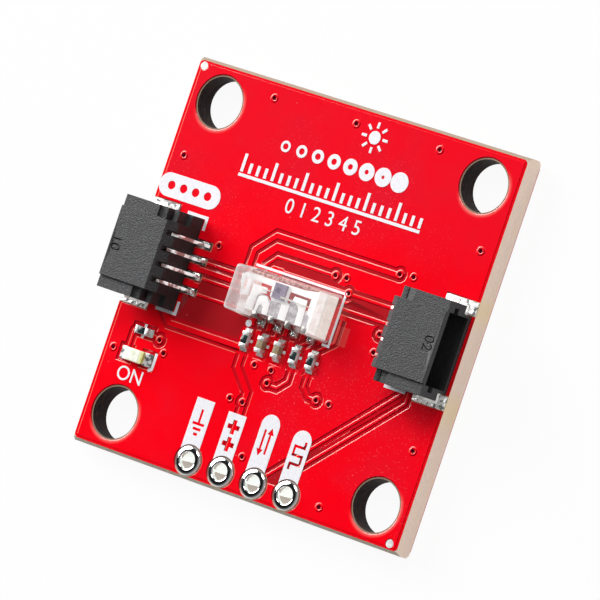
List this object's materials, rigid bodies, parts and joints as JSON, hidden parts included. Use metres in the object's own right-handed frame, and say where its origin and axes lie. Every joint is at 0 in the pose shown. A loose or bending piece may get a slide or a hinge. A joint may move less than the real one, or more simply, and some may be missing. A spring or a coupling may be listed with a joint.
{
  "type": "light sensor module",
  "caption": "Small square circuit board with a clear light sensor, side-entry cable sockets, a power light, small chips, a row of header holes and corner mounting holes.",
  "frame": {"origin": "middle of the board's underside", "axes": "+X along the line between the two cable sockets, towards the right-hand one; +Y away from the header row; +Z out of the populated face"},
  "size_m": [0.0254, 0.0252, 0.0046],
  "materials": {
    "laminate": "cut glass-epoxy laminate",
    "tan_ceramic": "fired tan ceramic",
    "tinned_caps": "tinned end caps",
    "solder": "bright solder",
    "tinned_bronze": "tinned sheet metal",
    "black_moulding": "fine-textured black moulding",
    "light_base_resin": "yellow-green laminate",
    "die_coating": "coated silicon",
    "milky_resin": "milky cream resin",
    "white_ceramic": "white ceramic",
    "dark_glaze": "dark glaze",
    "white_ink": "screen-printed ink",
    "bond_wire": "gold wire",
    "silvered_frame": "silver-plated lead frame",
    "clear_resin": "clear moulded resin",
    "red_lacquer": "glossy red lacquer over copper"
  },
  "bodies": {
    "root": {"board_laminate": "laminate", "capacitor_1_body": "tan_ceramic", "capacitor_1_caps": "tinned_caps", "capacitor_2_body": "tan_ceramic", "capacitor_2_caps": "tinned_caps", "chip_solder": "solder", "copper_marks": "solder", "left_anchor_a": "tinned_bronze", "left_anchor_b": "tinned_bronze", "left_contact_1": "tinned_bronze", "left_contact_2": "tinned_bronze", "left_contact_3": "tinned_bronze", "left_contact_4": "tinned_bronze", "left_socket_housing": "black_moulding", "left_socket_solder": "solder", "light_base": "light_base_resin", "light_die": "die_coating", "light_lens": "milky_resin", "light_resistor_body": "white_ceramic", "light_resistor_caps": "tinned_caps", "light_resistor_element": "dark_glaze", "light_solder": "solder", "light_terminals": "tinned_caps", "plated_hole_1": "solder", "plated_hole_2": "solder", "plated_hole_3": "solder", "plated_hole_4": "solder", "printed_marks": "white_ink", "resistor_1_body": "white_ceramic", "resistor_1_caps": "tinned_caps", "resistor_1_element": "dark_glaze", "resistor_2_body": "white_ceramic", "resistor_2_caps": "tinned_caps", "resistor_2_element": "dark_glaze", "resistor_3_body": "white_ceramic", "resistor_3_caps": "tinned_caps", "resistor_3_element": "dark_glaze", "right_anchor_a": "tinned_bronze", "right_anchor_b": "tinned_bronze", "right_contact_1": "tinned_bronze", "right_contact_2": "tinned_bronze", "right_contact_3": "tinned_bronze", "right_contact_4": "tinned_bronze", "right_socket_housing": "black_moulding", "right_socket_solder": "solder", "sensor_bond_wires": "bond_wire", "sensor_die": "die_coating", "sensor_lead_1": "silvered_frame", "sensor_lead_2": "silvered_frame", "sensor_lead_3": "silvered_frame", "sensor_lead_4": "silvered_frame", "sensor_package": "clear_resin", "sensor_solder": "solder", "solder_mask_bottom": "red_lacquer", "solder_mask_top": "red_lacquer"}
  },
  "joints": []
}
